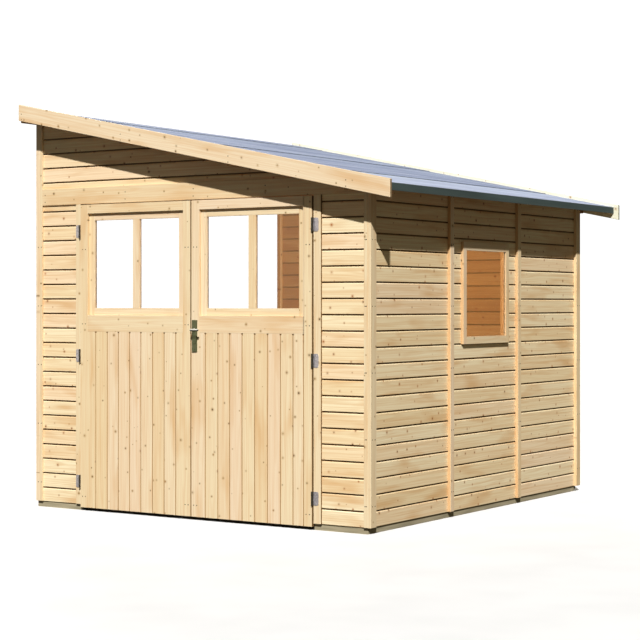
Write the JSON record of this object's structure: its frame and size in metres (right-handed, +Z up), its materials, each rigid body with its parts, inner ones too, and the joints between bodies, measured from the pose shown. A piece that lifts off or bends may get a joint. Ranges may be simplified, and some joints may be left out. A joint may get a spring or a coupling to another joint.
{
  "type": "lean-to wooden garden shed",
  "caption": "Lean-to garden shed of horizontal pine boards with glazed double doors, a side window, a felted monopitch roof and one open side.",
  "frame": {"origin": "on the ground, in the middle of the plan of the roof", "axes": "+X to the right along the front wall, +Y from the front to the back, +Z up"},
  "size_m": [2.595, 2.925, 2.4214],
  "materials": {
    "pine_boards": "planed untreated pine boards",
    "planed_pine": "planed untreated pine",
    "sawn_pine": "sawn untreated pine",
    "treated_timber": "pressure-treated, grey-green",
    "roofing_felt": "mineral-faced roofing felt",
    "clear_glazing": "clear",
    "zinc_plated_steel": "zinc plated",
    "dark_nickel_steel": "dark satin"
  },
  "bodies": {
    "shed": {"back_base_bearer": "treated_timber", "back_cover_battens": "planed_pine", "back_left_panel": "pine_boards", "back_middle_panel": "pine_boards", "back_right_panel": "pine_boards", "door_header": "sawn_pine", "door_jambs": "planed_pine", "door_lintel": "planed_pine", "door_posts": "sawn_pine", "eave_strip": "sawn_pine", "front_bargeboard": "planed_pine", "front_base_bearer": "treated_timber", "front_corner_trims": "planed_pine", "front_gable": "pine_boards", "front_left_panel": "pine_boards", "front_right_panel": "pine_boards", "jamb_hinge_plates": "zinc_plated_steel", "left_base_bearer": "treated_timber", "left_end_posts": "planed_pine", "rear_bargeboard": "planed_pine", "rear_corner_trims": "planed_pine", "right_base_bearer": "treated_timber", "roof_boards": "pine_boards", "roof_felt": "roofing_felt", "roof_purlins": "sawn_pine", "side_corner_boards": "planed_pine", "side_cover_battens": "planed_pine", "side_front_panel": "pine_boards", "side_rear_panel": "pine_boards", "side_window_frame": "planed_pine", "side_window_pane": "clear_glazing", "side_window_panel": "pine_boards", "wall_studs": "sawn_pine"},
    "left_door": {"left_door_back_frame": "sawn_pine", "left_door_boards": "pine_boards", "left_door_frame": "planed_pine", "left_door_hinge_leaves": "zinc_plated_steel", "left_door_panes": "clear_glazing", "left_door_sash": "planed_pine"},
    "right_door": {"right_door_back_frame": "sawn_pine", "right_door_boards": "pine_boards", "right_door_frame": "planed_pine", "right_door_hinge_leaves": "zinc_plated_steel", "right_door_panes": "clear_glazing", "right_door_sash": "planed_pine", "lock_plate": "dark_nickel_steel"},
    "lever": {"lever_handle": "dark_nickel_steel"}
  },
  "joints": [
    {"name": "left_door_hinge", "type": "hinge", "parent": "shed", "child": "left_door", "pos_m": [-0.94, -1.3215, 0.92], "axis": [0, 0, -1], "range_deg": [0, 170]},
    {"name": "right_door_hinge", "type": "hinge", "parent": "shed", "child": "right_door", "pos_m": [0.718, -1.3215, 0.92], "axis": [0, 0, 1], "range_deg": [0, 160]},
    {"name": "lever_turn", "type": "hinge", "parent": "right_door", "child": "lever", "pos_m": [-0.08, -1.3635, 1.08], "axis": [0, 1, 0], "range_deg": [0, 40], "stiffness_Nm_per_rad": 1, "springref_deg": -28.65}
  ]
}
